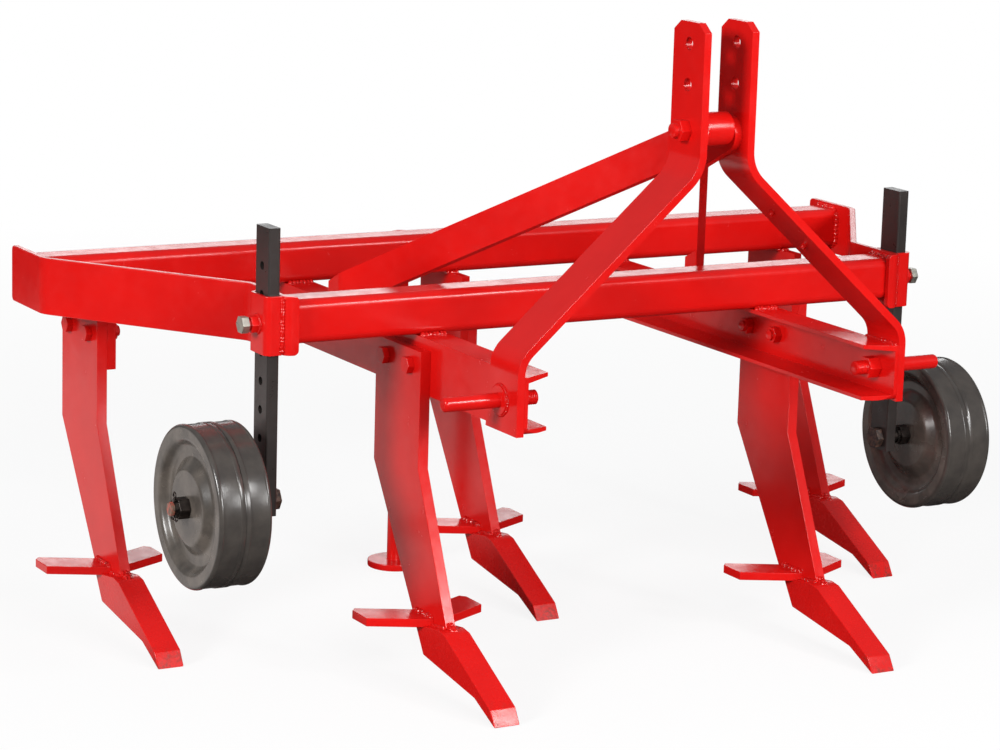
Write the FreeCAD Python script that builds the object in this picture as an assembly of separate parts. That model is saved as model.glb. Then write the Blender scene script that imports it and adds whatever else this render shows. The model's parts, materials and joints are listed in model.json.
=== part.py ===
import FreeCAD, Part
import math
import os

from FreeCAD import Vector

# Three-point-linkage subsoiler: a trapezoid frame, five rigid tines and two depth wheels.
# Millimetres. +X is the machine's right, +Y points back, away from the tractor, +Z is up.
# The ground is the plane through the tips of the five points. The origin lies on it, under
# the middle of the machine's box. Places along the machine are worked out from the middle
# line of the front beam and moved to the origin when each piece is written.

# --- Driving dimensions -------------------------------------------------------------------

# Cross beams, square tubes with round corners
beam_size = 67.0
beam_wall = 5.0
beam_corner = 14.0
beam_bottom = 521.5
beam_spacing = 463.0           # middle of the front beam to middle of the rear beam

# Side plates, flat bar with a short return over the front beam's end and two bends
side_height = 89.0
side_drop = 13.5                # lower edge under the beams
side_thickness = 10.0
side_return = 24.0             # from the outer face
side_return_radius = 10.0
side_bend_radius = 35.0
side_corner = 8.0
front_half_width = 556.0       # to the outer face
rear_half_width = 768.0
side_rear_overhang = 21.0       # past the rear face of the rear beam
side_front_leg = 86.0          # middle of the front beam to the first bend
side_rear_leg = 126.0          # rear end to the second bend

# Channels along the machine, welded under the beams
channel_height = 86.0
channel_flange = 50.0
channel_web = 6.0
channel_root = 9.0             # flange thickness at the web
channel_tip = 6.0              # flange thickness at its free edge
channel_half_spacing = 327.0   # to the outer face of the web
channel_reach = 360.0          # middle of the front beam to the front end
channel_slant = 22.0           # how far the flange's free corner is cut back
channel_nose_radius = 14.0     # lower front corner of the web
channel_rear_inset = 6.0       # before the rear face of the rear beam

# Mast, two flat bars bent twice
mast_width = 84.0
mast_thickness = 12.0
mast_half_gap = 35.0
mast_top = 1019.0
mast_upper_knee = 804.0        # height where the bar's straight middle lines meet
mast_lower_knee = 543.0
mast_foot_bottom = 434.0
mast_upper_radius = 60.0
mast_lower_radius = 45.0
mast_chamfer_width = 18.0
mast_chamfer_height = 13.5
mast_foot_flare = 8.0
mast_stud_radius = 4.5         # two, on the inner face of the right plate's slant only
mast_stud_height = 7.0
mast_stud_start = 101.0        # from the upper knee, along the slant
mast_stud_step = 81.0

# Top link holes, and the through bolt below them
top_link_radius = 9.8
top_link_height = 987.0
top_link_step = 60.0
mast_bolt_radius = 10.0
mast_bolt_height = 861.0
spacer_radius = 25.0

# Braces from the through bolt back to the channels
brace_width = 52.0
brace_thickness = 12.0
brace_bend_radius = 20.0
brace_foot_start = 215.0       # behind the middle of the front beam
brace_foot_length = 38.0
brace_foot_height = 547.5      # middle of the bar where the foot starts
brace_mast_clearance = 21.0    # rear edge of the mast to the bend
brace_bolt_drop = 8.0          # bar's middle line under the through bolt

# Lower link pins
link_pin_radius = 11.0
link_pin_length = 91.0         # past the collar
link_pin_height = 480.0
link_pin_rounding = 5.0
link_collar_radius = 22.0
link_collar_length = 4.0
link_thread_radius = 10.0
link_thread_length = 40.0      # inside the channel
link_nut_thickness = 20.0
link_nut_flats = 31.0
link_pin_set_back = 50.0       # front edge of the foot to the axis

# Tines: shank, point and wings
shank_width = 147.0
shank_thickness = 17.0
shank_top_gap = 16.5           # under the beam
rear_bend_height = 310.0
front_bend_height = 324.0
shank_end_reach = 76.0         # rear lower corner, before the middle of the shank's top
shank_end_height = 88.0
shank_nose_reach = 175.0       # front lower corner
shank_nose_height = 101.0
point_width = 43.0
point_back_reach = 101.0       # upper rear corner, on the shank's lower edge
point_reach = 354.0
point_crown_reach = 195.0
point_crown_height = 98.0
point_bevel_reach = 339.0
point_bevel_height = 24.0
point_sole_reach = 290.0
point_sole_height = 28.0
point_heel_reach = 128.0
point_heel_height = 50.0
wing_half_span = 99.0
wing_width = 62.0              # along the machine
wing_thickness = 13.0
wing_top = 106.0
wing_root_front = 136.0        # before the middle of the shank's top
wing_sweep = 46.0              # how far the tip lies behind the root
wing_tip_cut = 14.0
rear_tine_spacing = 666.0

# Brackets that carry the rear tines
bracket_thickness = 15.0
bracket_height = 110.5

# Tine bolts
tine_bolt_radius = 8.0
tine_bolt_half_pitch = 40.0
front_bolt_drop = 41.5         # under the beam
rear_bolt_drop = 55.5
hole_clearance = 0.5

# Depth wheels, their legs and clamps
front_leg_y = -4.0             # middle of the wheel legs, from the middle of the front beam
leg_width = 47.0
leg_thickness = 19.0
leg_gap = 1.0                  # to the side plate and inside the clamp
leg_length = 436.0
leg_below_axle = 21.0
leg_hole_radius = 6.5          # seats for the clamp bolt, in the outer face
leg_hole_depth = 9.0
leg_hole_pitch = 43.5
leg_hole_count = 7
leg_top_hole = 58.5            # below the top of the leg
leg_corner = 3.0
clamp_wall = 6.0
clamp_bend_radius = 8.0
clamp_bolt_radius = 8.0
axle_height = 283.0
axle_radius = 10.0
axle_clearance = 0.3
wheel_radius = 124.0
wheel_width = 85.0
wheel_offset = 610.0           # middle of the machine to the wheel's inner face
rim_ring = 23.0
rim_rounding = 5.5
rim_step = 1.0                 # the ring's inner edge below the wheel's face
lip_width = 6.5                # raised lips at the rims and beside the tread's seam
lip_height = 1.2
seam_width = 2.0
seam_depth = 3.0
dish_depth = 14.0
dish_slope = 9.0
dish_rounding = 11.0
boss_radius = 57.0
boss_slope = 16.0
boss_inset = 2.0               # the boss below the wheel's face
axle_head_thickness = 12.0
axle_nut_thickness = 17.0
axle_end_reach = 28.0          # past the boss

# Parking stand behind the rear beam
stand_offset = 73.0            # left of the middle
stand_radius = 13.0
stand_top = 580.0
stand_foot_radius = 46.0
stand_foot_thickness = 11.0
stand_clearance = 0.5
socket_wall = 4.0
socket_height = 52.0
stand_screw_radius = 6.0
seat_gap = 0.3                 # a screw's end from what it is drawn up to

# --- Places worked out from them ----------------------------------------------------------

beam_top = beam_bottom + beam_size
beam_middle = beam_bottom + beam_size / 2
side_bottom = beam_bottom - side_drop
clamp_middle = side_bottom + side_height / 2
mast_front = -channel_reach
mast_back = mast_front + mast_width
mast_y = (mast_front + mast_back) / 2
link_pin_y = mast_front + link_pin_set_back
side_front_y = -beam_size / 2 - side_thickness / 2
side_rear_end = beam_spacing + beam_size / 2 + side_rear_overhang
front_beam_half = front_half_width - side_thickness
rear_beam_half = rear_half_width - side_thickness
channel_bottom = beam_bottom - channel_height
shank_top = beam_bottom - shank_top_gap
front_tine_x = channel_half_spacing + shank_thickness / 2
front_bolt_height = beam_bottom - front_bolt_drop
rear_bolt_height = beam_bottom - rear_bolt_drop
leg_x = front_half_width + leg_gap + leg_thickness / 2
wheel_x = wheel_offset + wheel_width / 2
socket_radius = stand_radius + stand_clearance + socket_wall
stand_y = beam_spacing + beam_size / 2 + socket_radius
front_extreme = mast_front
rear_extreme = max(side_rear_end, beam_spacing + shank_width / 2, stand_y + stand_foot_radius)
origin_y = (front_extreme + rear_extreme) / 2


# --- Shape helpers ------------------------------------------------------------------------

def box(x0, x1, y0, y1, z0, z1):
    return Part.makeBox(x1 - x0, y1 - y0, z1 - z0, Vector(x0, y0, z0))


def rod_x(radius, x0, x1, y, z):
    return Part.makeCylinder(radius, abs(x1 - x0), Vector(min(x0, x1), y, z), Vector(1, 0, 0))


def rod_y(radius, y0, y1, x, z):
    return Part.makeCylinder(radius, y1 - y0, Vector(x, y0, z), Vector(0, 1, 0))


def rod_z(radius, z0, z1, x, y):
    return Part.makeCylinder(radius, z1 - z0, Vector(x, y, z0), Vector(0, 0, 1))


def hexagon_x(across_flats, x0, x1, y, z):
    corner = across_flats / math.sqrt(3)
    turns = [math.radians(60 * step) for step in range(6)]
    points = [(y + corner * math.cos(a), z + corner * math.sin(a)) for a in turns]
    return prism_yz(points, x0, x1)


def prism(vectors, travel):
    return Part.Face(Part.makePolygon(vectors + [vectors[0]])).extrude(travel)


def prism_yz(points, x0, x1):
    return prism([Vector(min(x0, x1), y, z) for y, z in points], Vector(abs(x1 - x0), 0, 0))


def prism_xz(points, y0, y1):
    return prism([Vector(x, y0, z) for x, z in points], Vector(0, y1 - y0, 0))


def prism_xy(points, z0, z1):
    return prism([Vector(x, y, z0) for x, y in points], Vector(0, 0, z1 - z0))


def bent_bar(path, radius, thickness, place, travel):
    """A flat bar: the centre line path in 2D, its corners bent to the radius, and the bar's
    width as a travel. place(a, b) turns a point of the path's plane into a Vector."""
    points = [Vector(a, b, 0) for a, b in path]
    radii = radius if isinstance(radius, (list, tuple)) else [radius] * (len(points) - 2)
    across = Vector(0, 0, 1)

    def side(offset):
        edges = []
        start = None
        for index in range(len(points)):
            if index == 0:
                ahead = (points[1] - points[0]).normalize()
                start = points[0] + across.cross(ahead) * offset
                continue
            behind = (points[index] - points[index - 1]).normalize()
            if index == len(points) - 1:
                end = points[index] + across.cross(behind) * offset
                edges.append(("line", start, end))
                break
            ahead = (points[index + 1] - points[index]).normalize()
            turn = behind.getAngle(ahead)
            hand = 1 if across.dot(behind.cross(ahead)) > 0 else -1
            bend = radii[index - 1]
            reach = bend * math.tan(turn / 2)
            first = points[index] - behind * reach
            last = points[index] + ahead * reach
            centre = first + across.cross(behind) * hand * bend
            middle = centre + (points[index] - centre).normalize() * (bend - hand * offset)
            first = first + across.cross(behind) * offset
            last = last + across.cross(ahead) * offset
            edges.append(("line", start, first))
            edges.append(("arc", first, middle, last))
            start = last
        return edges

    def world(point):
        return place(point.x, point.y)

    def shape(edge):
        ends = [world(point) for point in edge[1:]]
        if edge[0] == "line":
            return Part.makeLine(ends[0], ends[1])
        return Part.Arc(ends[0], ends[1], ends[2]).toShape()

    one = side(thickness / 2)
    other = side(-thickness / 2)
    caps = [("line", one[0][1], other[0][1]), ("line", one[-1][-1], other[-1][-1])]
    edges = [shape(edge) for edge in one + other + caps]
    wire = Part.Wire(Part.__sortEdges__(edges))
    return Part.Face(wire).extrude(travel)


def mirror(shape):
    return shape.mirror(Vector(0, 0, 0), Vector(1, 0, 0))


def along(shape, axis):
    """The straight edges of a shape that run along one axis."""
    found = []
    for edge in shape.Edges:
        if isinstance(edge.Curve, Part.Line):
            ahead = edge.tangentAt(edge.FirstParameter)
            if abs(getattr(ahead, axis)) > 0.999:
                found.append(edge)
    return found


def at_ends(edges, axis, places):
    """Those of the edges whose middle lies at one of the places along an axis."""
    return [e for e in edges if any(abs(getattr(e.CenterOfMass, axis) - p) < 0.01 for p in places)]


# --- Frame --------------------------------------------------------------------------------

def beam(half_length, y):
    half = beam_size / 2
    tube = box(-half_length, half_length, y - half, y + half, beam_bottom, beam_top)
    tube = tube.makeFillet(beam_corner, along(tube, "x"))
    inner = half - beam_wall
    low, high = beam_bottom + beam_wall, beam_top - beam_wall
    bore = box(-half_length, half_length, y - inner, y + inner, low, high)
    bore = bore.makeFillet(beam_corner - beam_wall, along(bore, "x"))
    return tube.cut(bore)


def side_plate():
    front = front_half_width - side_thickness / 2
    rear = rear_half_width - side_thickness / 2
    free = front_half_width - side_return
    path = [
        (free, side_front_y), (front, side_front_y), (front, side_front_leg),
        (rear, side_rear_end - side_rear_leg), (rear, side_rear_end),
    ]
    plate = bent_bar(
        path, [side_return_radius, side_bend_radius, side_bend_radius], side_thickness,
        lambda x, y: Vector(x, y, side_bottom), Vector(0, 0, side_height),
    )
    corners = at_ends(along(plate, "y"), "x", [free])
    corners += at_ends(along(plate, "x"), "y", [side_rear_end])
    return plate.makeFillet(side_corner, corners)


def channel():
    outer = channel_half_spacing
    inner = outer - channel_web
    free = outer - channel_flange
    rear = beam_spacing + beam_size / 2 - channel_rear_inset
    outline = [
        (outer, channel_bottom), (outer, beam_bottom), (free, beam_bottom),
        (free, beam_bottom - channel_tip), (inner, beam_bottom - channel_root),
        (inner, channel_bottom + channel_root), (free, channel_bottom + channel_tip),
        (free, channel_bottom),
    ]
    bar = prism_xz(outline, -channel_reach, rear)
    slant = [(free, -channel_reach), (inner, -channel_reach), (free, -channel_reach + channel_slant)]
    bar = bar.cut(prism_xy(slant, channel_bottom, beam_bottom))
    nose = channel_nose_radius
    corner = box(free, outer, -channel_reach, nose - channel_reach, channel_bottom, channel_bottom + nose)
    bar = bar.cut(corner.cut(rod_x(nose, free, outer, nose - channel_reach, channel_bottom + nose)))
    for y in (-tine_bolt_half_pitch, tine_bolt_half_pitch):
        bar = bar.cut(rod_x(tine_bolt_radius + hole_clearance, inner, outer, y, front_bolt_height))
    return bar.cut(rod_x(link_thread_radius + hole_clearance, inner, outer, link_pin_y, link_pin_height))


def mast_plate():
    upper = mast_half_gap + mast_thickness / 2
    lower = channel_half_spacing + mast_thickness / 2
    path = [
        (upper, mast_top), (upper, mast_upper_knee), (lower, mast_lower_knee), (lower, mast_foot_bottom),
    ]
    plate = bent_bar(
        path, [mast_upper_radius, mast_lower_radius], mast_thickness,
        lambda x, z: Vector(x, mast_front, z), Vector(0, mast_width, 0),
    )
    x0, x1 = mast_half_gap, mast_half_gap + mast_thickness
    for edge, inward in ((mast_front, 1), (mast_back, -1)):
        corner = [
            (edge, mast_top), (edge + inward * mast_chamfer_width, mast_top),
            (edge, mast_top - mast_chamfer_height),
        ]
        plate = plate.cut(prism_yz(corner, x0, x1))
    for z in (top_link_height, top_link_height - top_link_step):
        plate = plate.cut(rod_x(top_link_radius, x0, x1, mast_y, z))
    plate = plate.cut(rod_x(mast_bolt_radius + hole_clearance, x0, x1, mast_y, mast_bolt_height))
    foot = (channel_half_spacing, channel_half_spacing + mast_thickness)
    flare = [
        (mast_back, mast_lower_knee - mast_lower_radius), (mast_back + mast_foot_flare, mast_foot_bottom),
        (mast_back, mast_foot_bottom),
    ]
    plate = plate.fuse(prism_yz(flare, *foot)).removeSplitter()
    hole = rod_x(link_thread_radius + hole_clearance, foot[0], foot[1], link_pin_y, link_pin_height)
    return plate.cut(hole)


def mast_studs():
    knee = Vector(mast_half_gap + mast_thickness / 2, mast_y, mast_upper_knee)
    foot = Vector(channel_half_spacing + mast_thickness / 2, mast_y, mast_lower_knee)
    down = (foot - knee).normalize()
    inward = Vector(down.z, 0, -down.x)
    length = mast_thickness / 2 + mast_stud_height
    studs = []
    for distance in (mast_stud_start, mast_stud_start + mast_stud_step):
        studs.append(Part.makeCylinder(mast_stud_radius, length, knee + down * distance, inward))
    return studs


def mast_spacer():
    half = mast_half_gap - brace_thickness
    tube = rod_x(spacer_radius, -half, half, mast_y, mast_bolt_height)
    return tube.cut(rod_x(mast_bolt_radius + hole_clearance, -half, half, mast_y, mast_bolt_height))


def through_bolt(radius, x_head, x_nut, y, z, tail):
    """A hex bolt along X from its head's seat to its nut's seat, with its nut, in one piece."""
    outward = 1 if x_nut > x_head else -1
    flats = 3.0 * radius
    head = hexagon_x(flats, x_head - outward * 1.3 * radius, x_head, y, z)
    nut = hexagon_x(flats, x_nut, x_nut + outward * 1.6 * radius, y, z)
    stem = rod_x(radius, x_head - outward * 0.1, x_nut + outward * (1.6 * radius + tail), y, z)
    return stem.fuse(head).fuse(nut).removeSplitter()


def mast_bolt():
    outer = mast_half_gap + mast_thickness
    return through_bolt(mast_bolt_radius, outer, -outer, mast_y, mast_bolt_height, 8.0)


def brace():
    start = mast_half_gap - brace_thickness / 2
    foot = channel_half_spacing + brace_thickness / 2
    bend = mast_back + brace_mast_clearance
    path = [
        (start, mast_y - brace_width), (start, bend), (foot, brace_foot_start),
        (foot, brace_foot_start + brace_foot_length),
    ]
    low, high = channel_bottom, mast_top
    plan = bent_bar(
        path, brace_bend_radius, brace_thickness,
        lambda x, y: Vector(x, y, low), Vector(0, 0, high - low),
    )
    # The bar slopes by the same angle in each of its three straight stretches.
    spread = math.hypot(brace_foot_start - bend, foot - start)
    mast_z = mast_bolt_height - brace_bolt_drop
    drop = mast_z - brace_foot_height
    slope = math.atan(drop / (bend - mast_y + spread))
    half = brace_width / 2
    rise = half / math.cos(slope)
    bend_z = mast_z - (bend - mast_y) * math.tan(slope)
    end_y = brace_foot_start + brace_foot_length
    end_z = brace_foot_height - brace_foot_length * math.tan(slope)
    middle = [(bend, bend_z), (brace_foot_start, brace_foot_height), (end_y, end_z)]
    lean, lift = half * math.sin(slope), half * math.cos(slope)
    outline = [(mast_y + lean, mast_z + lift)] + [(y, z + rise) for y, z in middle]
    outline += [(y, z - rise) for y, z in reversed(middle)] + [(mast_y - lean, mast_z - lift)]
    band = prism_yz(outline, 0, foot + brace_thickness)
    band = band.fuse(rod_x(half, 0, foot + brace_thickness, mast_y, mast_z))
    bar = plan.common(band)
    bar = bar.cut(box(0, channel_half_spacing, mast_back, end_y, channel_bottom, beam_bottom))
    bar = max(bar.Solids, key=lambda solid: solid.Volume)
    x0, x1 = start - brace_thickness, start + brace_thickness
    return bar.cut(rod_x(mast_bolt_radius + hole_clearance, x0, x1, mast_y, mast_bolt_height))


def link_pin():
    seat = channel_half_spacing + mast_thickness
    collar_end = seat + link_collar_length
    inner = channel_half_spacing - channel_web
    y, z = link_pin_y, link_pin_height
    pin = rod_x(link_pin_radius, collar_end - 1, collar_end + link_pin_length, y, z)
    tip = [e for e in pin.Edges if abs(e.BoundBox.XMin - (collar_end + link_pin_length)) < 0.01]
    pin = pin.makeFillet(link_pin_rounding, tip)
    collar = rod_x(link_collar_radius, seat, collar_end, y, z)
    stem = rod_x(link_thread_radius, inner - link_thread_length, seat + 1, y, z)
    nut = hexagon_x(link_nut_flats, inner - link_nut_thickness, inner, y, z)
    return pin.fuse(collar).fuse(stem).fuse(nut).removeSplitter()


# --- Tines --------------------------------------------------------------------------------

def shank(x, y, bolt_height):
    half = shank_width / 2
    outline = [
        (y + half, shank_top), (y + half, rear_bend_height), (y - shank_end_reach, shank_end_height),
        (y - shank_nose_reach, shank_nose_height), (y - half, front_bend_height), (y - half, shank_top),
    ]
    x0, x1 = x - shank_thickness / 2, x + shank_thickness / 2
    bar = prism_yz(outline, x0, x1)
    for bolt_y in (y - tine_bolt_half_pitch, y + tine_bolt_half_pitch):
        bar = bar.cut(rod_x(tine_bolt_radius + hole_clearance, x0, x1, bolt_y, bolt_height))
    return bar


def point(x, y):
    share = (point_back_reach - shank_end_reach) / (shank_nose_reach - shank_end_reach)
    back_height = shank_end_height + share * (shank_nose_height - shank_end_height)
    outline = [
        (y - point_back_reach, back_height), (y - shank_nose_reach, shank_nose_height),
        (y - point_crown_reach, point_crown_height), (y - point_bevel_reach, point_bevel_height),
        (y - point_reach, 0.0), (y - point_sole_reach, point_sole_height),
        (y - point_heel_reach, point_heel_height),
    ]
    return prism_yz(outline, x - point_width / 2, x + point_width / 2)


def wings(x, y):
    root = x + shank_thickness / 2
    tip = x + wing_half_span
    front = y - wing_root_front
    slope = wing_sweep / (tip - root)
    outline = [
        (root, front), (tip, front + wing_sweep), (tip, front + wing_sweep + wing_width - wing_tip_cut),
        (tip - wing_tip_cut * 0.6, front + wing_sweep + wing_width - wing_tip_cut * 0.6 * slope),
        (root, front + wing_width),
    ]
    right = prism_xy(outline, wing_top - wing_thickness, wing_top).cut(point(x, y))
    left = right.mirror(Vector(x, 0, 0), Vector(1, 0, 0))
    return Part.makeCompound([left, right])


def bracket(x, y):
    half = shank_width / 2
    x0, x1 = x - bracket_thickness / 2, x + bracket_thickness / 2
    plate = box(x0, x1, y - half, y + half, beam_bottom - bracket_height, beam_bottom)
    for bolt_y in (y - tine_bolt_half_pitch, y + tine_bolt_half_pitch):
        plate = plate.cut(rod_x(tine_bolt_radius + hole_clearance, x0, x1, bolt_y, rear_bolt_height))
    return plate


def tine_bolts(x_head, x_nut, y, z):
    bolts = []
    for bolt_y in (y - tine_bolt_half_pitch, y + tine_bolt_half_pitch):
        bolts.append(through_bolt(tine_bolt_radius, x_head, x_nut, bolt_y, z, 5.0))
    return bolts


# --- Depth wheels -------------------------------------------------------------------------

def wheel_leg():
    x0, x1 = leg_x - leg_thickness / 2, leg_x + leg_thickness / 2
    low = axle_height - leg_below_axle
    bar = box(x0, x1, front_leg_y - leg_width / 2, front_leg_y + leg_width / 2, low, low + leg_length)
    bar = bar.makeFillet(leg_corner, along(bar, "z"))
    bar = bar.cut(rod_x(axle_radius + hole_clearance, x0, x1, front_leg_y, axle_height))
    for step in range(leg_hole_count):
        z = low + leg_length - leg_top_hole - step * leg_hole_pitch
        bar = bar.cut(rod_x(leg_hole_radius, x1 - leg_hole_depth, x1, front_leg_y, z))
    return bar


def leg_clamp():
    outer_x = leg_x + leg_thickness / 2 + leg_gap + clamp_wall / 2
    outer_y = leg_width / 2 + leg_gap + clamp_wall / 2
    path = [
        (front_half_width, front_leg_y - outer_y), (outer_x, front_leg_y - outer_y),
        (outer_x, front_leg_y + outer_y), (front_half_width, front_leg_y + outer_y),
    ]
    strap = bent_bar(
        path, clamp_bend_radius, clamp_wall,
        lambda x, y: Vector(x, y, side_bottom), Vector(0, 0, side_height),
    )
    face = outer_x + clamp_wall / 2
    nut = hexagon_x(3 * clamp_bolt_radius, face, face + 13, front_leg_y, clamp_middle)
    strap = strap.fuse(nut).removeSplitter()
    hole = rod_x(clamp_bolt_radius + hole_clearance, leg_x, face + 14, front_leg_y, clamp_middle)
    return strap.cut(hole)


def clamp_bolt():
    leg_face = leg_x + leg_thickness / 2
    nut_end = leg_face + leg_gap + clamp_wall + 13
    head = nut_end + 4
    stem = rod_x(clamp_bolt_radius, leg_face + seat_gap, head + 1, front_leg_y, clamp_middle)
    top = hexagon_x(3 * clamp_bolt_radius, head, head + 11, front_leg_y, clamp_middle)
    return stem.fuse(top).removeSplitter()


def axle():
    leg_in = leg_x - leg_thickness / 2
    boss_in = wheel_offset + boss_inset - axle_clearance
    boss_out = wheel_offset + wheel_width - boss_inset + axle_clearance
    y, z = front_leg_y, axle_height
    flats = 3 * axle_radius
    head = hexagon_x(flats, leg_in - axle_head_thickness, leg_in, y, z)
    stem = rod_x(axle_radius, leg_in - 1, boss_out + axle_end_reach, y, z)
    inner_nut = hexagon_x(flats, boss_in - axle_nut_thickness, boss_in, y, z)
    outer_nut = hexagon_x(flats, boss_out, boss_out + axle_nut_thickness, y, z)
    return stem.fuse(head).fuse(inner_nut).fuse(outer_nut).removeSplitter()


def wheel():
    half = wheel_width / 2
    tread = wheel_radius - lip_height
    ring_inner = wheel_radius - rim_ring
    web = half - dish_depth
    boss = half - boss_inset
    seam = seam_width / 2
    outline = [
        # radius, distance from the wheel's middle plane
        (axle_radius + axle_clearance, boss), (boss_radius, boss), (boss_radius + boss_slope, web),
        (ring_inner - dish_slope, web), (ring_inner, half - rim_step), (wheel_radius, half),
        (wheel_radius, half - lip_width), (tread, half - lip_width - lip_height),
        (tread, seam + lip_width + lip_height), (wheel_radius, seam + lip_width), (wheel_radius, seam),
        (wheel_radius - seam_depth, 0),
    ]
    outline = outline + [(r, -w) for r, w in reversed(outline[:-1])]
    vectors = [Vector(wheel_x + w, front_leg_y, axle_height + r) for r, w in outline]
    face = Part.Face(Part.makePolygon(vectors + [vectors[0]]))
    disc = face.revolve(Vector(wheel_x, front_leg_y, axle_height), Vector(1, 0, 0), 360)

    def rings(places):
        """The disc's round edges at places of the outline, on both sides."""
        found = []
        for edge in disc.Edges:
            if isinstance(edge.Curve, Part.Circle):
                radius, apart = edge.Curve.Radius, abs(edge.Curve.Center.x - wheel_x)
                if any(abs(radius - r) < 0.01 and abs(apart - w) < 0.01 for r, w in places):
                    found.append(edge)
        return found

    disc = disc.makeFillet(dish_rounding, rings(outline[1:5]))
    return disc.makeFillet(rim_rounding, rings(outline[5:6]))


# --- Parking stand ------------------------------------------------------------------------

def parking_stand():
    x, y = -stand_offset, stand_y
    post = rod_z(stand_radius, stand_foot_thickness - 1, stand_top, x, y)
    foot = rod_z(stand_foot_radius, 0, stand_foot_thickness, x, y)
    return post.fuse(foot).removeSplitter()


def stand_socket():
    x, y = -stand_offset, stand_y
    low = beam_middle - socket_height / 2
    high = low + socket_height
    tube = rod_z(socket_radius, low, high, x, y)
    half = socket_radius / 2
    web = box(x - half, x + half, y - socket_radius, y, beam_bottom + beam_corner, beam_top - beam_corner)
    tube = tube.fuse(web).removeSplitter()
    tube = tube.cut(rod_z(stand_radius + stand_clearance, low, high, x, y))
    return tube.cut(rod_y(stand_screw_radius + hole_clearance, y, y + socket_radius + 1, x, beam_middle))


def stand_screw():
    x, y = -stand_offset, stand_y
    start = y + stand_radius + seat_gap
    end = y + socket_radius + 22
    stem = rod_y(stand_screw_radius, start, end, x, beam_middle)
    bar = rod_x(stand_screw_radius * 0.7, x - 28, x + 28, end - stand_screw_radius, beam_middle)
    return stem.fuse(bar).removeSplitter()


# --- Assembly -----------------------------------------------------------------------------

def assembly():
    pieces = {
        "front_beam": beam(front_beam_half, 0.0),
        "rear_beam": beam(rear_beam_half, beam_spacing),
        "mast_spacer": mast_spacer(),
        "mast_bolt": mast_bolt(),
        "parking_stand": parking_stand(),
        "stand_socket": stand_socket(),
        "stand_screw": stand_screw(),
    }
    paired = {
        "side_plate": side_plate, "channel": channel, "mast_plate": mast_plate, "brace": brace,
        "link_pin": link_pin, "wheel_leg": wheel_leg, "leg_clamp": leg_clamp,
        "clamp_bolt": clamp_bolt, "axle": axle, "wheel": wheel,
    }
    for name, make in paired.items():
        right = make()
        pieces[name + "_right"] = right
        pieces[name + "_left"] = mirror(right)
    for stud in mast_studs():
        pieces["mast_plate_right"] = pieces["mast_plate_right"].fuse(stud).removeSplitter()
    for side in ("side_plate_left", "side_plate_right"):
        pieces["front_beam"] = pieces["front_beam"].cut(pieces[side])

    bolts = []
    side_step = (shank_thickness + bracket_thickness) / 2
    tines = [
        # name, shank's middle, place along the machine, bracket's middle
        ("front_left", -front_tine_x, 0.0, None),
        ("front_right", front_tine_x, 0.0, None),
        ("rear_left", -rear_tine_spacing, beam_spacing, -rear_tine_spacing + side_step),
        ("rear_centre", 0.0, beam_spacing, -side_step),
        ("rear_right", rear_tine_spacing, beam_spacing, rear_tine_spacing - side_step),
    ]
    for name, x, y, bracket_x in tines:
        bolt_height = front_bolt_height if bracket_x is None else rear_bolt_height
        pieces["shank_" + name] = shank(x, y, bolt_height)
        pieces["point_" + name] = point(x, y)
        pieces["wings_" + name] = wings(x, y)
        if bracket_x is None:
            inward = -math.copysign(1.0, x)
            backing = channel_web
        else:
            inward = math.copysign(1.0, bracket_x - x)
            backing = bracket_thickness
            pieces["bracket_" + name] = bracket(bracket_x, y)
        x_head = x - inward * shank_thickness / 2
        x_nut = x + inward * (shank_thickness / 2 + backing)
        bolts += tine_bolts(x_head, x_nut, y, bolt_height)
    pieces["tine_bolts"] = Part.makeCompound(bolts)
    return pieces


os.makedirs("parts", exist_ok=True)
for node, solid in assembly().items():
    solid.translate(Vector(0, -origin_y, 0))
    solid.exportStep("parts/" + node + ".step")
print(len(os.listdir("parts")), "nodes, origin", round(origin_y, 3), "behind the front beam")
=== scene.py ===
import json
import math

import bmesh
import bpy
import numpy as np
from mathutils import Matrix, Vector


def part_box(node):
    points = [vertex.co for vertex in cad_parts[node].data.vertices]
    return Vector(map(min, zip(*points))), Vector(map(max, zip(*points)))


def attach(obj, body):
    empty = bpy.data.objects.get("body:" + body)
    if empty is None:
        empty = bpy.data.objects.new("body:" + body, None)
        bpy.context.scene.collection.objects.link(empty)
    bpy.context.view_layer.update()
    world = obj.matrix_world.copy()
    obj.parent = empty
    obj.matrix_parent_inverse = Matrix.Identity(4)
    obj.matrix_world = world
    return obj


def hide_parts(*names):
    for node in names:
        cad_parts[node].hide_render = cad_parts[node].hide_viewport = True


# Looks for the subsoiler: every CAD node gets rounded edges and a procedural material, and
# welds, threads and cotter pins are added. Metres, in the CAD's frame: +X is the machine's
# right, +Y points back, away from the tractor, +Z is up and the floor is z = 0.

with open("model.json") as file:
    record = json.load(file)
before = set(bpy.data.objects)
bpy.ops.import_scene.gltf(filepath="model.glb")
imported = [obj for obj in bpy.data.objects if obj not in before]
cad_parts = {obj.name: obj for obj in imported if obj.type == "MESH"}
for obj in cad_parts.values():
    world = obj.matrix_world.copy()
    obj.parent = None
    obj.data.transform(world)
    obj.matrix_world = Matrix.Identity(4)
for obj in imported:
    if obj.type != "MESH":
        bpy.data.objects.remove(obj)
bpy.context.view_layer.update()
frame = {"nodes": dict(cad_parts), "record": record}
NODES = frame["nodes"]
BODIES = frame["record"]["behaviour"]["bodies"]
BODY_OF = {node: body for body, members in BODIES.items() for node in members}
SIDES = {"left": -1, "right": 1}    # the sign of a side's X
TINES = [node[len("shank_"):] for node in sorted(NODES) if node.startswith("shank_")]
chance = np.random.default_rng(41)


def inner_x(node, side):
    """The face of a node that looks to the machine's middle."""
    low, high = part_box(node)
    return high.x if side == "left" else low.x


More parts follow.
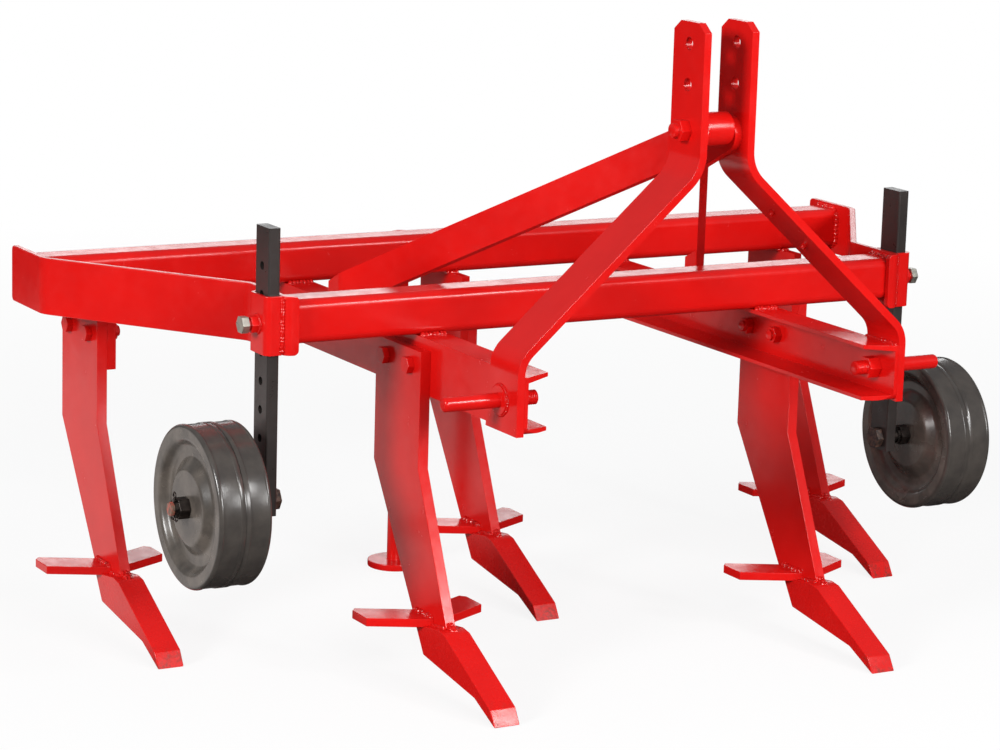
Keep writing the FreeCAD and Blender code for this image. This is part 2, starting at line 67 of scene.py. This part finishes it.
def outer_x(node, side):
    low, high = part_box(node)
    return low.x if side == "left" else high.x


def middle(node):
    low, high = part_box(node)
    return (low + high) / 2


# --- Materials ----------------------------------------------------------------------------

class Shader:
    """A material's nodes, with short calls for what the paints below share."""

    def __init__(self, name):
        self.material = bpy.data.materials.new(name)
        self.material.use_nodes = True
        self.nodes = self.material.node_tree.nodes
        self.links = self.material.node_tree.links
        self.surface = self.nodes["Principled BSDF"]
        self.place = self.nodes.new("ShaderNodeTexCoord").outputs["Object"]

    def noise(self, scale, detail=3.0, roughness=0.55):
        node = self.nodes.new("ShaderNodeTexNoise")
        node.inputs["Scale"].default_value = scale
        node.inputs["Detail"].default_value = detail
        node.inputs["Roughness"].default_value = roughness
        self.links.new(self.place, node.inputs["Vector"])
        return node.outputs["Fac"]

    def ramp(self, value, low, high, a, b):
        """Colours a to b as a value goes from low to high."""
        node = self.nodes.new("ShaderNodeValToRGB")
        node.color_ramp.elements[0].position = low
        node.color_ramp.elements[1].position = high
        node.color_ramp.elements[0].color = (*a, 1.0)
        node.color_ramp.elements[1].color = (*b, 1.0)
        self.links.new(value, node.inputs["Fac"])
        return node.outputs["Color"]

    def spread(self, value, start, end, low=0.0, high=1.0):
        """low..high as a value goes from start to end."""
        node = self.nodes.new("ShaderNodeMapRange")
        node.inputs["From Min"].default_value = start
        node.inputs["From Max"].default_value = end
        node.inputs["To Min"].default_value = low
        node.inputs["To Max"].default_value = high
        self.links.new(value, node.inputs["Value"])
        return node.outputs["Result"]

    def height(self):
        """How high a place lies above the floor."""
        node = self.nodes.new("ShaderNodeSeparateXYZ")
        self.links.new(self.place, node.inputs[0])
        return node.outputs["Z"]

    def apart(self):
        """How far a place lies from the machine's middle plane."""
        node = self.nodes.new("ShaderNodeSeparateXYZ")
        self.links.new(self.place, node.inputs[0])
        return self.math("ABSOLUTE", node.outputs["X"])

    def math(self, operation, first, second=None):
        node = self.nodes.new("ShaderNodeMath")
        node.operation = operation
        self.links.new(first, node.inputs[0])
        if second:
            self.links.new(second, node.inputs[1])
        return node.outputs[0]

    def distance(self, centre):
        node = self.nodes.new("ShaderNodeVectorMath")
        node.operation = "DISTANCE"
        node.inputs[1].default_value = centre
        self.links.new(self.place, node.inputs[0])
        return node.outputs["Value"]

    def radius(self, y, z):
        """How far a place lies from a line along X."""
        flat = self.nodes.new("ShaderNodeVectorMath")
        flat.operation = "MULTIPLY"
        flat.inputs[1].default_value = (0.0, 1.0, 1.0)
        node = self.nodes.new("ShaderNodeVectorMath")
        node.operation = "DISTANCE"
        node.inputs[1].default_value = (0.0, y, z)
        self.links.new(self.place, flat.inputs[0])
        self.links.new(flat.outputs[0], node.inputs[0])
        return node.outputs["Value"]

    def mix(self, factor, a, b):
        node = self.nodes.new("ShaderNodeMix")
        node.data_type = "RGBA"
        self.links.new(factor, node.inputs["Factor"])
        self.links.new(a, node.inputs["A"])
        self.links.new(b, node.inputs["B"])
        return node.outputs["Result"]

    def bump(self, height, strength, distance, after=None):
        node = self.nodes.new("ShaderNodeBump")
        node.inputs["Strength"].default_value = strength
        node.inputs["Distance"].default_value = distance
        self.links.new(height, node.inputs["Height"])
        if after:
            self.links.new(after, node.inputs["Normal"])
        return node.outputs["Normal"]

    def emission(self, colour):
        node = self.nodes.new("ShaderNodeEmission")
        if isinstance(colour, bpy.types.NodeSocket):
            self.links.new(colour, node.inputs["Color"])
        else:
            node.inputs["Color"].default_value = (*colour, 1.0)
        return node.outputs[0]

    def blend(self, factor, first, second):
        """The first shader where the factor is 0, the second where it is 1."""
        node = self.nodes.new("ShaderNodeMixShader")
        self.links.new(factor, node.inputs[0])
        self.links.new(first, node.inputs[1])
        self.links.new(second, node.inputs[2])
        return node.outputs[0]

    def set(self, **values):
        for name, value in values.items():
            socket = self.surface.inputs[name.replace("_", " ")]
            if isinstance(value, bpy.types.NodeSocket):
                self.links.new(value, socket)
            else:
                socket.default_value = value
        return self.material


def paint(name, colour, shade, roughness, ior, low_tone=None):
    """Sprayed gloss paint: slow changes of tone, orange peel, and a little dust that dulls it.
    With a last colour, it turns to that colour in blotches in the lowest few centimetres above the
    floor."""
    s = Shader(name)
    tone = s.ramp(s.noise(6.0, 4.0), 0.35, 0.65, colour, shade)
    if low_tone:
        # Darker in blotches towards the floor, in the lowest 35 mm.
        low = s.spread(s.height(), 0.004, 0.035, 1.0, 0.0)
        low_blotches = s.math("MULTIPLY", low, s.spread(s.noise(70.0, 5.0, 0.7), 0.44, 0.62))
        tone = s.mix(low_blotches, tone, s.ramp(s.noise(160.0), 0.4, 0.6, low_tone, colour))
    dust = s.noise(45.0, 6.0, 0.7)
    peel = s.bump(s.noise(420.0, 2.0), 0.06, 0.0004)
    dents = s.bump(s.noise(22.0, 2.0), 0.10, 0.0025, peel)
    return s.set(
        Base_Color=tone, IOR=ior, Normal=dents,
        Roughness=s.spread(dust, 0.3, 0.7, roughness - 0.04, roughness + 0.08),
    )


def metal(name, colour, shade, roughness, rust=None):
    """Bare or plated steel: blotchy tone and fine scratches. With rust, two distances from the
    machine's middle, it is brown below the first and tan and red past the second."""
    s = Shader(name)
    tone = s.ramp(s.noise(90.0, 4.0), 0.35, 0.7, colour, shade)
    metallic = s.spread(s.noise(60.0), 0.3, 0.7, 0.95, 0.8)
    if rust:
        head, tip = rust
        rusty = s.spread(s.apart(), head, head + 0.002, 1.0, 0.0)
        tan = s.spread(s.apart(), tip, tip + 0.002)
        red = s.math("MULTIPLY", tan, s.spread(s.noise(70.0, 3.0), 0.44, 0.54))
        blotches = s.noise(130.0, 5.0, 0.7)
        brown = s.ramp(blotches, 0.42, 0.60, (0.024, 0.018, 0.016), (0.125, 0.070, 0.050))
        tone = s.mix(rusty, tone, brown)
        bare = s.ramp(s.noise(110.0, 4.0), 0.35, 0.65, (0.22, 0.130, 0.085), (0.12, 0.075, 0.055))
        tone = s.mix(tan, tone, bare)
        primer = s.ramp(s.noise(60.0), 0.3, 0.7, (0.48, 0.085, 0.055), (0.34, 0.10, 0.07))
        tone = s.mix(red, tone, primer)
        metallic = s.spread(s.math("MAXIMUM", rusty, tan), 0.0, 1.0, 0.9, 0.1)
    scratch = s.bump(s.noise(900.0, 2.0), 0.15, 0.0003)
    return s.set(
        Base_Color=tone, Metallic=metallic, Normal=scratch,
        Roughness=s.spread(s.noise(160.0, 5.0), 0.3, 0.7, roughness - 0.07, roughness + 0.12),
    )


def wheel_plastic():
    """Black plastic, shiny on the tread. The faces are lighter and browner in blotches: brownish dust,
    and painted light for the brighter light the faces catch.
    """
    s = Shader("wheel_black")
    axle = middle("wheel_left")
    out = s.radius(axle.y, axle.z)
    tread = (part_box("wheel_left")[1].z - axle.z) - 0.004
    face = s.spread(out, tread - 0.004, tread, 1.0, 0.0)
    # Dust and painted light: the faces are made lighter and browner than the tread, in blotches.
    dust = s.math("MULTIPLY", face, s.spread(s.noise(16.0, 5.0, 0.6), 0.3, 0.62, 0.35, 1.0))
    clean = s.ramp(s.noise(30.0, 4.0), 0.35, 0.65, (0.070, 0.061, 0.054), (0.050, 0.044, 0.040))
    dust_and_painted_light_tone = s.ramp(s.noise(24.0, 4.0), 0.36, 0.64, (0.148, 0.124, 0.104), (0.068, 0.058, 0.049))
    scuffs = s.bump(s.noise(260.0, 4.0, 0.7), 0.10, 0.0006)
    return s.set(
        Base_Color=s.mix(dust, clean, dust_and_painted_light_tone), IOR=1.55, Normal=scuffs,
        Roughness=s.spread(dust, 0.0, 1.0, 0.21, 0.28),
    )


AXLE_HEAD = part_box("wheel_leg_right")[0].x
AXLE_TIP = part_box("axle_right")[1].x - 0.006
RED = paint("red_paint", (0.70, 0.0070, 0.0055), (0.61, 0.0050, 0.0040), 0.20, 1.45)
# For the points: the red turns darker in blotches near the floor.
RED_DARKER_LOW = paint(
    "red_darker_low", (0.70, 0.0070, 0.0055), (0.60, 0.0050, 0.0040), 0.24, 1.45, (0.16, 0.030, 0.022),
)
WELD = paint("red_weld", (0.68, 0.0070, 0.0055), (0.52, 0.0045, 0.0035), 0.16, 1.48)
BLACK = paint("black_paint", (0.040, 0.032, 0.030), (0.026, 0.022, 0.020), 0.30, 1.45)
WHEEL = wheel_plastic()
ZINC = metal("zinc", (0.62, 0.60, 0.52), (0.40, 0.39, 0.35), 0.32)
DARK = metal("dark_steel", (0.11, 0.09, 0.08), (0.035, 0.03, 0.028), 0.34, (AXLE_HEAD, AXLE_TIP))

MATERIAL_OF_SLOT = {
    "red_paint": RED, "black_paint": BLACK, "wheel_black": WHEEL, "zinc": ZINC, "dark_steel": DARK,
}


# --- CAD nodes with rounded edges ---------------------------------------------------------

SHARP = math.radians(28)
FLAT = math.radians(0.5)
SAME_PLACE = 2e-6
EDGE = 0.0015                  # rounding of a cut or sheared edge
SMALL_EDGE = 0.0007            # on bolts, pins and nuts
LEG_EDGE = 0.0022              # on the drawn bars of the wheel legs
FINE = ("tine_bolts", "mast_bolt", "clamp_bolt", "axle", "link_pin", "stand_screw")


def link(name, mesh):
    piece = bpy.data.objects.new(name, mesh)
    bpy.context.scene.collection.objects.link(piece)
    return piece


def edge_of(node):
    if node in ("wheel_left", "wheel_right"):
        return 0.0
    if node.startswith("wheel_leg"):
        return LEG_EDGE
    return SMALL_EDGE if node.startswith(FINE) else EDGE


def rounded(node, material):
    """A copy of a CAD node whose sharp edges are rounded, which stands for it."""
    mesh = NODES[node].data.copy()
    bm = bmesh.new()
    bm.from_mesh(mesh)
    bmesh.ops.remove_doubles(bm, verts=bm.verts, dist=SAME_PLACE)
    bmesh.ops.dissolve_limit(bm, angle_limit=FLAT, verts=bm.verts, edges=bm.edges)
    width = edge_of(node)
    if width:
        sharp = [e for e in bm.edges if e.is_manifold and e.calc_face_angle(0.0) > SHARP]
        bmesh.ops.bevel(
            bm, geom=sharp, offset=width, segments=2, profile=0.5, affect="EDGES", clamp_overlap=True,
        )
    bm.normal_update()
    bm.to_mesh(mesh)
    bm.free()
    piece = link(node + "_shape", mesh)
    mesh.materials.clear()
    mesh.materials.append(material)
    mesh.shade_smooth()
    mesh.set_sharp_from_angle(angle=SHARP)
    piece.modifiers.new("flat_faces", "WEIGHTED_NORMAL").keep_sharp = True
    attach(piece, BODY_OF[node])
    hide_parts(node)
    return piece


for entry in frame["record"]["subparts"]:
    node, slot = entry["node"], entry["material_slot"]
    material = RED_DARKER_LOW if node.startswith("point_") else MATERIAL_OF_SLOT[slot]
    rounded(node, material)


# --- Welds, threads and cotter pins -------------------------------------------------------

class Surface:
    """Rings of points joined to skins, gathered into one mesh."""

    def __init__(self):
        self.vertices = []
        self.faces = []

    def skin(self, rings, closed=False):
        """Joins rings of as many points each. Open ends are capped."""
        first = len(self.vertices)
        count = len(rings[0])
        for ring in rings:
            self.vertices += [tuple(point) for point in ring]
        pairs = len(rings) if closed else len(rings) - 1
        for i in range(pairs):
            a, b = first + i * count, first + (i + 1) % len(rings) * count
            for j in range(count):
                k = (j + 1) % count
                self.faces.append((a + j, a + k, b + k, b + j))
        if not closed:
            last = first + (len(rings) - 1) * count
            self.faces.append(tuple(first + j for j in reversed(range(count))))
            self.faces.append(tuple(last + j for j in range(count)))

    def tube(self, points, radii, sides=8, closed=False):
        points = [Vector(p) for p in points]
        rings = []
        across = None
        for i, point in enumerate(points):
            before = points[i - 1] if i or closed else point
            after = points[(i + 1) % len(points)] if i + 1 < len(points) or closed else point
            ahead = (after - before).normalized()
            if across is None:
                guide = Vector((0, 0, 1)) if abs(ahead.z) < 0.9 else Vector((1, 0, 0))
                across = ahead.cross(guide).normalized()
            across = (across - ahead * across.dot(ahead)).normalized()
            up = ahead.cross(across)
            turns = [2 * math.pi * j / sides for j in range(sides)]
            rings.append([point + (across * math.cos(t) + up * math.sin(t)) * radii[i] for t in turns])
        self.skin(rings, closed)

    def piece(self, name, material, body, slot):
        mesh = bpy.data.meshes.new(name)
        mesh.from_pydata(self.vertices, [], self.faces)
        bm = bmesh.new()
        bm.from_mesh(mesh)
        bmesh.ops.recalc_face_normals(bm, faces=bm.faces)
        bm.to_mesh(mesh)
        bm.free()
        mesh.materials.append(material)
        mesh.shade_smooth()
        mesh.set_sharp_from_angle(angle=math.radians(50))
        piece = link(name, mesh)
        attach(piece, body)
        return piece


STEP = 0.0012                  # between a bead's rings
RIPPLE = 0.0046                # from one ripple to the next, on a bead of RIPPLE_RADIUS
RIPPLE_RADIUS = 0.0034
WANDER = 0.00022               # how far a bead's rings stray from its line


def along_path(corners, closed=False):
    """Places a step apart on the straight lines between corners."""
    corners = [Vector(c) for c in corners]
    if closed:
        corners.append(corners[0])
    places = []
    for start, end in zip(corners, corners[1:]):
        count = max(2, round((end - start).length / STEP))
        places += [start.lerp(end, i / count) for i in range(count)]
    return places if closed else places + [corners[-1]]


def bead(surface, corners, radius=0.0032, closed=False, lumps=0.30):
    """A weld: a rippled bead that wanders a little and starts and ends in a drop."""
    places = along_path(corners, closed)
    phase = chance.uniform(0, math.pi)
    wander = chance.normal(0, WANDER, (len(places), 3))
    ripple = RIPPLE * radius / RIPPLE_RADIUS
    radii = []
    for i in range(len(places)):
        wave = abs(math.sin(math.pi * i * STEP / ripple + phase))
        end = 1.0 if closed else min(1.0, 0.35 + 0.35 * min(i, len(places) - 1 - i))
        radii.append(radius * end * (0.97 - lumps / 2 + lumps * wave + chance.normal(0, 0.03)))
    surface.tube([p + Vector(w) for p, w in zip(places, wander)], radii, 8, closed)


def circle_x(x, y, z, radius, count):
    turns = [2 * math.pi * i / count for i in range(count)]
    return [(x, y + radius * math.cos(t), z + radius * math.sin(t)) for t in turns]


BEAM_CORNER = 0.0115           # the straight cut across a beam's rounded corner
NUT_THICKNESS = 0.013          # of the nut on a leg clamp
CLAMP_NUT = 0.0135             # radius of the weld round it
COLLAR = 0.0225                # radius of the weld round a link pin's collar
MAST_FLARE = 0.008             # how far a mast plate's foot widens to the back
MAST_THICKNESS = 0.012
BRACE_SEAM = 0.075             # length of the weld on a brace's foot
SHANK_HALF_WIDTH = 0.0735

# Radii of the beads.
END_BEAD = 0.0052              # round a beam's end
SEAM_BEAD = 0.0046             # under a beam
BEAD = 0.0036
FOOT_BEAD = 0.0034             # on the feet of the mast and the braces
RING_BEAD = 0.0026             # round nuts and collars
CLAMP_BEAD = {"left": 0.0036, "right": 0.0021}    # on a leg clamp's seams
ROOT_BEADS = (0.0040, 0.0050)  # under and over a wing's root


def beam_welds(surface, beam):
    """The beam's ends on the side plates, and its underside on the channels."""
    low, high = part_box(beam)
    corner = BEAM_CORNER
    section = [
        (low.y + corner, low.z), (high.y - corner, low.z), (high.y, low.z + corner),
        (high.y, high.z - corner), (high.y - corner, high.z), (low.y + corner, high.z),
        (low.y, high.z - corner), (low.y, low.z + corner),
    ]
    for x in (low.x, high.x):
        bead(surface, [(x, y, z) for y, z in section], END_BEAD, closed=True, lumps=0.6)
    for side in SIDES:
        start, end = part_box("channel_" + side)
        for y in (low.y, high.y):
            if start.y < y < end.y:
                seam = [(start.x + 0.002, y, low.z), (end.x - 0.002, y, low.z)]
                bead(surface, seam, SEAM_BEAD, lumps=0.5)


def side_welds(surface, side):
    """The clamp on its plate, and the mast's and the brace's feet on the channel."""
    low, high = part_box("leg_clamp_" + side)
    seat = inner_x("leg_clamp_" + side, side)
    for y in (low.y, high.y):
        seam = [(seat, y, low.z + 0.002), (seat, y, high.z - 0.002)]
        bead(surface, seam, CLAMP_BEAD[side])
    centre = middle("leg_clamp_" + side)
    nut_seat = outer_x("leg_clamp_" + side, side) - SIDES[side] * NUT_THICKNESS
    bead(surface, circle_x(nut_seat, centre.y, centre.z, CLAMP_NUT, 14), RING_BEAD, closed=True)

    web = outer_x("channel_" + side, side)
    base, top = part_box("channel_" + side)
    foot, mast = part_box("mast_plate_" + side)
    back = mast.y - MAST_FLARE
    seam = [(web, foot.y + 0.004, top.z), (web, back, top.z), (web, mast.y, base.z + 0.003)]
    bead(surface, seam, FOOT_BEAD)
    pin = middle("link_pin_" + side)
    plate = web + SIDES[side] * MAST_THICKNESS
    bead(surface, circle_x(plate, pin.y, pin.z, COLLAR, 24), RING_BEAD, closed=True)
    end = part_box("brace_" + side)[1].y
    seam = [(web, end - BRACE_SEAM, top.z), (web, end, top.z), (web, end, top.z - 0.018)]
    bead(surface, seam, FOOT_BEAD)


def bracket_welds(surface, tine):
    """A rear tine's bracket under the rear beam."""
    low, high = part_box("bracket_" + tine)
    start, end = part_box("rear_beam")
    for x in (low.x, high.x):
        bead(surface, [(x, start.y + 0.004, start.z), (x, end.y - 0.004, start.z)], BEAD)
    for y in (start.y, end.y):
        bead(surface, [(low.x, y, start.z), (high.x, y, start.z)], BEAD)


def tine_welds(surface, tine):
    """The wings' roots, the shank on the point, and the lumps in front of the shank."""
    low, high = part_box("shank_" + tine)
    wing_low, wing_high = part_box("wings_" + tine)
    y = high.y - SHANK_HALF_WIDTH
    under, over = ROOT_BEADS
    for x in (low.x, high.x):
        bead(surface, [(x, y - 0.130, wing_low.z), (x, y - 0.078, wing_low.z)], under, lumps=0.5)
        bead(surface, [(x, y - 0.134, wing_high.z), (x, y - 0.078, wing_high.z)], over, lumps=0.55)
        bead(surface, [(x, y - 0.101, low.z + 0.004), (x, y - 0.173, low.z + 0.013)], BEAD)
    drops = ((0.172, 0.017, 0.0042), (0.177, 0.012, 0.0050), (0.184, 0.0105, 0.0046))
    for back, rise, radius in drops:
        ends = [(x, y - back, low.z + rise) for x in (low.x + 0.002, high.x - 0.002)]
        bead(surface, ends, radius)


welds = Surface()
for beam in ("front_beam", "rear_beam"):
    beam_welds(welds, beam)
for side in SIDES:
    side_welds(welds, side)
for tine in TINES:
    tine_welds(welds, tine)
    if "bracket_" + tine in NODES:
        bracket_welds(welds, tine)
socket = middle("stand_socket")
rear_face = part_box("rear_beam")[1].y
for x in (socket.x - 0.009, socket.x + 0.009):
    bead(welds, [(x, rear_face, socket.z - 0.024), (x, rear_face, socket.z + 0.024)])
welds.piece("welds", WELD, "frame", "red_paint")


def thread(surface, start, end, y, z, radius, pitch=0.002):
    """Ridges round a bolt's end, from its nut to its tip, along X."""
    ridge = 0.3 * pitch
    count = max(2, round(abs(end - start) / pitch))
    rings = []
    for i in range(count):
        for share, rise in ((0.0, 0.0), (0.35, ridge), (0.6, ridge)):
            x = start + (end - start) * (i + share) / count
            rings.append(circle_x(x, y, z, radius + rise, 20))
    rings.append(circle_x(end, y, z, radius - 0.0010, 20))
    surface.skin(rings)


TINE_BOLT = 0.008              # radius
BOLT_FLAT = 0.012              # half the width of a tine bolt's head across its flats
NUT_SEAT = 0.006               # the channel's web, between a front shank and its nuts
HALF_PITCH = 0.040             # half the way between a tine's two bolts
CLAMP_BOLT = 0.008
LINK_THREAD = 0.010
MAST_BOLT = 0.010

threads = Surface()
bolts_low, bolts_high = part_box("tine_bolts")
for tine in TINES:
    low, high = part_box("shank_" + tine)
    y = high.y - SHANK_HALF_WIDTH
    if "bracket_" + tine in NODES:
        z = bolts_low.z + BOLT_FLAT
        inward = math.copysign(1, middle("bracket_" + tine).x - (low.x + high.x) / 2)
        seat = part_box("bracket_" + tine)[inward > 0].x
    else:
        z = bolts_high.z - BOLT_FLAT
        inward = -math.copysign(1, low.x)
        seat = (high.x if inward > 0 else low.x) + inward * NUT_SEAT
    nut_end = seat + inward * 1.6 * TINE_BOLT
    for bolt_y in (y - HALF_PITCH, y + HALF_PITCH):
        thread(threads, nut_end - inward * 0.001, nut_end + inward * 0.0052, bolt_y, z, TINE_BOLT)
for side, hand in SIDES.items():
    pin = middle("link_pin_" + side)
    tip = inner_x("link_pin_" + side, side)
    nut = tip + hand * 0.021
    thread(threads, nut, tip - hand * 0.0002, pin.y, pin.z, LINK_THREAD, pitch=0.0032)
    clamp = middle("leg_clamp_" + side)
    face = outer_x("leg_clamp_" + side, side)
    thread(threads, face - hand * 0.001, face + hand * 0.0045, clamp.y, clamp.z, CLAMP_BOLT)
bolt = middle("mast_bolt")
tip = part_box("mast_bolt")[0].x
thread(threads, tip + 0.009, tip - 0.0002, bolt.y, bolt.z, MAST_BOLT)
threads.piece("threads", RED, "frame", "red_paint")


def castle(surface, x, y, z, hand):
    """Six teeth on a nut's outer face."""
    tooth = [(0.0106, -0.30), (0.0106, 0.30), (0.0138, 0.34), (0.0138, -0.34)]    # radius, turn
    for i in range(6):
        turn = math.pi / 6 + i * math.pi / 3
        rings = []
        for out in (x - hand * 0.001, x + hand * 0.005):
            rings.append([
                (out, y + r * math.cos(turn + t), z + r * math.sin(turn + t)) for r, t in tooth
            ])
        surface.skin(rings)


def cotter(surface, x, y, z):
    """A split pin through the axle: an eye on top and two bent legs below."""
    wire = 0.0014
    eye = [
        (x, y + 0.0042 * math.sin(t), z + 0.0195 - 0.0052 * math.cos(t))
        for t in (2 * math.pi * i / 16 for i in range(16))
    ]
    surface.tube(eye, [wire] * len(eye), 8, closed=True)
    for hand in (-1, 1):
        leg = [
            (x, y + hand * 0.0010, z + 0.015), (x, y + hand * 0.0010, z - 0.0125),
            (x, y + hand * 0.0030, z - 0.0165), (x, y + hand * 0.0072, z - 0.0178),
            (x, y + hand * 0.0112, z - 0.0150),
        ]
        surface.tube(leg, [wire] * len(leg), 8)


AXLE_TAIL = 0.011              # the axle past its outer nut
AXLE_THREAD = 0.0102
INNER_NUT = 0.017              # the nut between a wheel and its leg

for side, hand in SIDES.items():
    centre = middle("wheel_" + side)
    tip = outer_x("axle_" + side, side)
    ends = Surface()
    root = tip - hand * (AXLE_TAIL + 0.001)
    thread(ends, root, tip - hand * 0.0012, centre.y, centre.z, AXLE_THREAD)
    castle(ends, tip - hand * AXLE_TAIL, centre.y, centre.z, hand)
    cotter(ends, tip - hand * (AXLE_TAIL - 0.0028), centre.y, centre.z)
    inner = inner_x("wheel_" + side, side) + hand * 0.0017
    castle(ends, inner - hand * INNER_NUT, centre.y, centre.z, -hand)
    ends.piece("axle_hardware_" + side, DARK, "leg_" + side, "dark_steel")


# --- Camera -------------------------------------------------------------------------------

def along(azimuth, pitch):
    """The direction that a camera looks in: azimuth turns from +Y to +X, pitch is downwards."""
    a, p = math.radians(azimuth), math.radians(pitch)
    return Vector((math.sin(a) * math.cos(p), math.cos(a) * math.cos(p), -math.sin(p)))


def make_camera(azimuth, pitch, roll, place, lens):
    ahead = along(azimuth, pitch)
    right = ahead.cross(Vector((0, 0, 1))).normalized()
    up = right.cross(ahead)
    turn = math.radians(roll)
    x = right * math.cos(turn) + up * math.sin(turn)
    y = up * math.cos(turn) - right * math.sin(turn)
    camera = bpy.data.objects.new("camera", bpy.data.cameras.new("camera"))
    bpy.context.scene.collection.objects.link(camera)
    camera.data.sensor_width = 36.0
    camera.data.lens = lens
    camera.matrix_world = Matrix.Translation(place) @ Matrix((x, y, -ahead)).transposed().to_4x4()
    bpy.context.scene.camera = camera


make_camera(
    azimuth=29.467, pitch=11.823, roll=1.7206, lens=119.26,
    place=Vector((-2.634, middle("front_beam").y - 4.369, 1.4927)),
)


# --- Studio -------------------------------------------------------------------------------

def make_floor():
    """White paper with the machine's faint shadow. To the paint it is a glowing painted reflection of
    a hall's floor, pale beside the machine and dark further away, the dark under the machine standing
    for its shadow."""
    reach = 60.0
    mesh = bpy.data.meshes.new("floor")
    corners = [(-reach, -reach, 0), (reach, -reach, 0), (reach, reach, 0), (-reach, reach, 0)]
    mesh.from_pydata(corners, [], [(0, 1, 2, 3)])
    floor = link("floor", mesh)
    s = Shader("floor")
    rays = s.nodes.new("ShaderNodeLightPath")
    hall = s.ramp(s.noise(3.0), 0.3, 0.7, (0.32, 0.31, 0.30), (0.28, 0.27, 0.26))
    s.set(Base_Color=hall, Roughness=0.9)
    paper = s.nodes.new("ShaderNodeBsdfDiffuse")
    paper.inputs["Color"].default_value = (0.9, 0.9, 0.9, 1.0)
    glow = s.spread(s.distance((0, 0, 0)), 1.6, 4.0, 0.87, 1.0)
    seen = s.blend(glow, paper.outputs[0], s.emission((1.0, 1.0, 1.0)))
    # Painted reflection: a glowing patch that only glossy rays see, pale beside the machine, dark
    # under it and further away.
    painted_reflection_patch = s.spread(s.distance((-1.3, 1.3, 0)), 1.1, 1.45)
    painted_reflection = s.emission(s.ramp(painted_reflection_patch, 0.0, 1.0, (0.76, 0.71, 0.69), (0.03, 0.025, 0.025)))
    rest = s.blend(rays.outputs["Is Glossy Ray"], s.surface.outputs[0], painted_reflection)
    whole = s.blend(rays.outputs["Is Camera Ray"], rest, seen)
    s.links.new(whole, s.nodes["Material Output"].inputs["Surface"])
    mesh.materials.append(s.material)


def softbox(name, place, target, size, power):
    lamp = bpy.data.lights.new(name, "AREA")
    lamp.shape = "RECTANGLE"
    lamp.size, lamp.size_y = size
    lamp.energy = power
    obj = bpy.data.objects.new(name, lamp)
    bpy.context.scene.collection.objects.link(obj)
    obj.location = place
    obj.rotation_euler = (Vector(target) - Vector(place)).to_track_quat("-Z", "Y").to_euler()
    obj.visible_camera = False


def make_world():
    """White to the camera, a grey hall to the light and the paint."""
    world = bpy.data.worlds.new("studio")
    bpy.context.scene.world = world
    world.use_nodes = True
    nodes, links = world.node_tree.nodes, world.node_tree.links
    rays = nodes.new("ShaderNodeLightPath")
    shaders = []
    hall, white = (0.95, 0.97, 1.0), (1.0, 1.0, 1.0)
    for colour, strength in ((hall, 0.36), (hall, 0.22), (white, 1.0)):
        background = nodes.new("ShaderNodeBackground")
        background.inputs["Color"].default_value = (*colour, 1.0)
        background.inputs["Strength"].default_value = strength
        shaders.append(background.outputs[0])
    last = shaders[0]
    for kind, shader in (("Is Glossy Ray", shaders[1]), ("Is Camera Ray", shaders[2])):
        mix = nodes.new("ShaderNodeMixShader")
        links.new(rays.outputs[kind], mix.inputs[0])
        links.new(last, mix.inputs[1])
        links.new(shader, mix.inputs[2])
        last = mix.outputs[0]
    links.new(last, nodes["World Output"].inputs["Surface"])


make_floor()
make_world()
softbox("key", (-6.4, -1.6, 2.9), (0, 0, 0.5), (2.0, 1.6), 345)
softbox("front", (0.2, -5.6, 2.0), (0, 0, 0.5), (2.4, 1.4), 170)
softbox("glint_low", (1.24, -2.72, 1.83), (-0.33, -0.12, 0.22), (0.5, 0.75), 30)
softbox("glint_high", (1.46, -2.85, 2.42), (-0.33, -0.35, 0.0), (0.5, 0.35), 9)
softbox("horizon", (5.6, 8.8, 2.8), (0, 0, 0.55), (16.0, 1.2), 175)

bpy.context.scene.view_settings.view_transform = "Standard"
